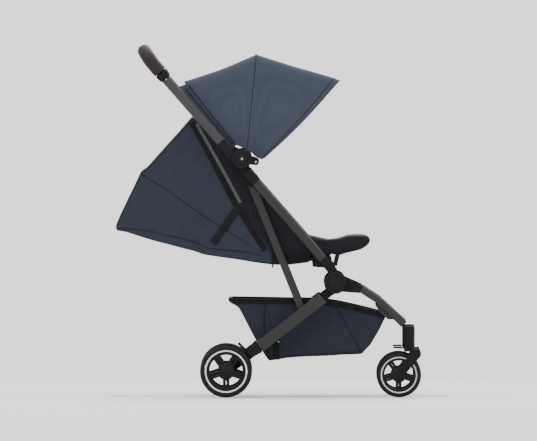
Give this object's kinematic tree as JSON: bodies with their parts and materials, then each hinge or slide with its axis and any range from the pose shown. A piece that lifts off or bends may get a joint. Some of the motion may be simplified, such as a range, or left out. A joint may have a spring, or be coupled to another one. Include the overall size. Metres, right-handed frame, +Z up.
{
  "type": "baby stroller",
  "caption": "Folding baby stroller with a push bar, reclining hooded seat, canopy, leg rest, storage basket and swivelling front wheels.",
  "frame": {"origin": "on the ground, under the middle of the stroller's overall box", "axes": "+X forward, the way the child faces; +Y to the child's left; +Z up"},
  "size_m": [0.9156, 0.45, 1.055],
  "materials": {
    "arm_grey": "satin grey powder coat",
    "leg_grey": "satin dark grey powder coat",
    "black": "matt black moulded plastic",
    "grip_brown": "dark brown leather look wrap",
    "navy": "woven navy polyester",
    "dark_navy": "dark navy woven fabric",
    "webbing": "black webbing",
    "tyre": "foam filled rubber tread",
    "rim": "black moulded spokes with a pale ring",
    "steel": "plain steel rod"
  },
  "bodies": {
    "chassis": {"lower_arm_l": "leg_grey", "lower_arm_r": "leg_grey", "lower_knuckle_l": "black", "lower_knuckle_r": "black", "lower_hub_l": "black", "lower_hub_r": "black", "main_cross_tube": "leg_grey", "seat_cross_tube": "black", "canopy_rear_bow": "black", "canopy_rear_panel": "navy", "seat_base": "black", "seat_cushion": "dark_navy", "seat_hood": "dark_navy", "basket": "dark_navy", "buckle": "black"},
    "handle": {"upper_arm_l": "arm_grey", "upper_arm_r": "arm_grey", "upper_knuckle_l": "black", "upper_knuckle_r": "black", "handle_grip": "grip_brown", "grip_collar_l": "black", "grip_collar_r": "black"},
    "fold_button": {"fold_button": "black"},
    "rear_legs": {"rear_leg_l": "leg_grey", "rear_leg_r": "leg_grey", "rear_knuckle_l": "black", "rear_knuckle_r": "black", "rear_foot_l": "black", "rear_foot_r": "black", "rear_axle": "steel"},
    "front_legs": {"front_leg_l": "leg_grey", "front_leg_r": "leg_grey", "front_knuckle_l": "black", "front_knuckle_r": "black", "caster_housing_l": "black", "caster_housing_r": "black", "front_brace": "leg_grey"},
    "link_l": {"link_l": "leg_grey"},
    "link_r": {"link_r": "leg_grey"},
    "rear_wheel_l": {"rear_rim_l": "rim", "rear_tyre_l": "tyre"},
    "rear_wheel_r": {"rear_rim_r": "rim", "rear_tyre_r": "tyre"},
    "caster_l": {"caster_fork_l": "black"},
    "caster_r": {"caster_fork_r": "black"},
    "front_wheel_l": {"front_rim_l": "rim", "front_tyre_l": "tyre"},
    "front_wheel_r": {"front_rim_r": "rim", "front_tyre_r": "tyre"},
    "swivel_lock_l": {"swivel_lock_l": "black"},
    "swivel_lock_r": {"swivel_lock_r": "black"},
    "brake_pedal": {"brake_pedal": "black"},
    "backrest": {"backrest": "dark_navy", "shoulder_harness": "webbing"},
    "leg_rest": {"leg_rest": "navy"},
    "canopy_mid": {"canopy_mid_bow": "black"},
    "canopy_front": {"canopy_front_bow": "black", "canopy_front_panel": "navy"},
    "buckle_button": {"buckle_button": "black"}
  },
  "joints": [
    {"name": "handle_fold", "type": "hinge", "parent": "chassis", "child": "handle", "pos_m": [-0.08019, 0, 0.71378], "axis": [0, 1, 0], "range_deg": [0, 176], "deforming": ["seat_hood", "basket", "leg_rest", "seat_cushion", "backrest", "shoulder_harness"]},
    {"name": "rear_leg_fold", "type": "hinge", "parent": "chassis", "child": "rear_legs", "pos_m": [0.1982, 0, 0.343], "axis": [0, 1, 0], "range_deg": [0, 77]},
    {"name": "front_leg_fold", "type": "hinge", "parent": "chassis", "child": "front_legs", "pos_m": [0.1982, 0, 0.343], "axis": [0, 1, 0], "range_deg": [0, 140]},
    {"name": "link_turn_l", "type": "hinge", "parent": "rear_legs", "child": "link_l", "pos_m": [0.1029, 0, 0.2527], "axis": [0, 1, 0], "range_deg": [-83.55, 0]},
    {"name": "link_turn_r", "type": "hinge", "parent": "rear_legs", "child": "link_r", "pos_m": [0.1029, 0, 0.2527], "axis": [0, 1, 0], "range_deg": [-83.55, 0]},
    {"name": "rear_wheel_spin_l", "type": "hinge", "parent": "rear_legs", "child": "rear_wheel_l", "pos_m": [-0.128, 0, 0.078], "axis": [0, 1, 0], "continuous": true},
    {"name": "caster_swivel_l", "type": "hinge", "parent": "front_legs", "child": "caster_l", "pos_m": [0.4186, 0.169, 0.15], "axis": [0, 0, 1], "continuous": true},
    {"name": "front_wheel_spin_l", "type": "hinge", "parent": "caster_l", "child": "front_wheel_l", "pos_m": [0.3893, 0, 0.0667], "axis": [0, 1, 0], "continuous": true},
    {"name": "swivel_lock_lift_l", "type": "hinge", "parent": "front_legs", "child": "swivel_lock_l", "pos_m": [0.4002, 0, 0.149], "axis": [0, 1, 0], "range_deg": [0, 18]},
    {"name": "rear_wheel_spin_r", "type": "hinge", "parent": "rear_legs", "child": "rear_wheel_r", "pos_m": [-0.128, 0, 0.078], "axis": [0, 1, 0], "continuous": true},
    {"name": "caster_swivel_r", "type": "hinge", "parent": "front_legs", "child": "caster_r", "pos_m": [0.4186, -0.169, 0.15], "axis": [0, 0, 1], "continuous": true},
    {"name": "front_wheel_spin_r", "type": "hinge", "parent": "caster_r", "child": "front_wheel_r", "pos_m": [0.3893, 0, 0.0667], "axis": [0, 1, 0], "continuous": true},
    {"name": "swivel_lock_lift_r", "type": "hinge", "parent": "front_legs", "child": "swivel_lock_r", "pos_m": [0.4002, 0, 0.149], "axis": [0, 1, 0], "range_deg": [0, 18]},
    {"name": "brake_press", "type": "hinge", "parent": "rear_legs", "child": "brake_pedal", "pos_m": [-0.06148, 0, 0.13115], "axis": [0, 1, 0], "range_deg": [-18, 0]},
    {"name": "backrest_recline", "type": "hinge", "parent": "chassis", "child": "backrest", "pos_m": [-0.012, 0, 0.426], "axis": [0, 1, 0], "range_deg": [0, 55], "deforming": ["seat_hood", "backrest", "shoulder_harness"]},
    {"name": "leg_rest_drop", "type": "hinge", "parent": "chassis", "child": "leg_rest", "pos_m": [0.192, 0, 0.44], "axis": [0, 1, 0], "range_deg": [0, 65], "deforming": ["leg_rest"]},
    {"name": "canopy_mid_fold", "type": "hinge", "parent": "chassis", "child": "canopy_mid", "pos_m": [-0.08019, 0, 0.71378], "axis": [0, 1, 0], "range_deg": [-38, 0], "deforming": ["canopy_rear_panel", "canopy_front_panel"]},
    {"name": "canopy_front_fold", "type": "hinge", "parent": "canopy_mid", "child": "canopy_front", "pos_m": [-0.08019, 0, 0.71378], "axis": [0, 1, 0], "range_deg": [-36, 0]},
    {"name": "fold_button_press", "type": "slide", "parent": "handle", "child": "fold_button", "axis": [0, 0, 1], "range_m": [0, 0.003], "stiffness_N_per_m": 300},
    {"name": "buckle_press", "type": "slide", "parent": "chassis", "child": "buckle_button", "axis": [0, 0, -1], "range_m": [0, 0.002], "stiffness_N_per_m": 300}
  ],
  "couplings": [
    {"joint": "rear_leg_fold", "follows": "handle_fold", "ratio": 0.4375},
    {"joint": "front_leg_fold", "follows": "handle_fold", "ratio": 0.79546},
    {"joint": "link_turn_l", "follows": "handle_fold", "ratio": -0.47472},
    {"joint": "link_turn_r", "follows": "handle_fold", "ratio": -0.47472},
    {"joint": "canopy_front_fold", "follows": "canopy_mid_fold", "ratio": 0.94737}
  ]
}
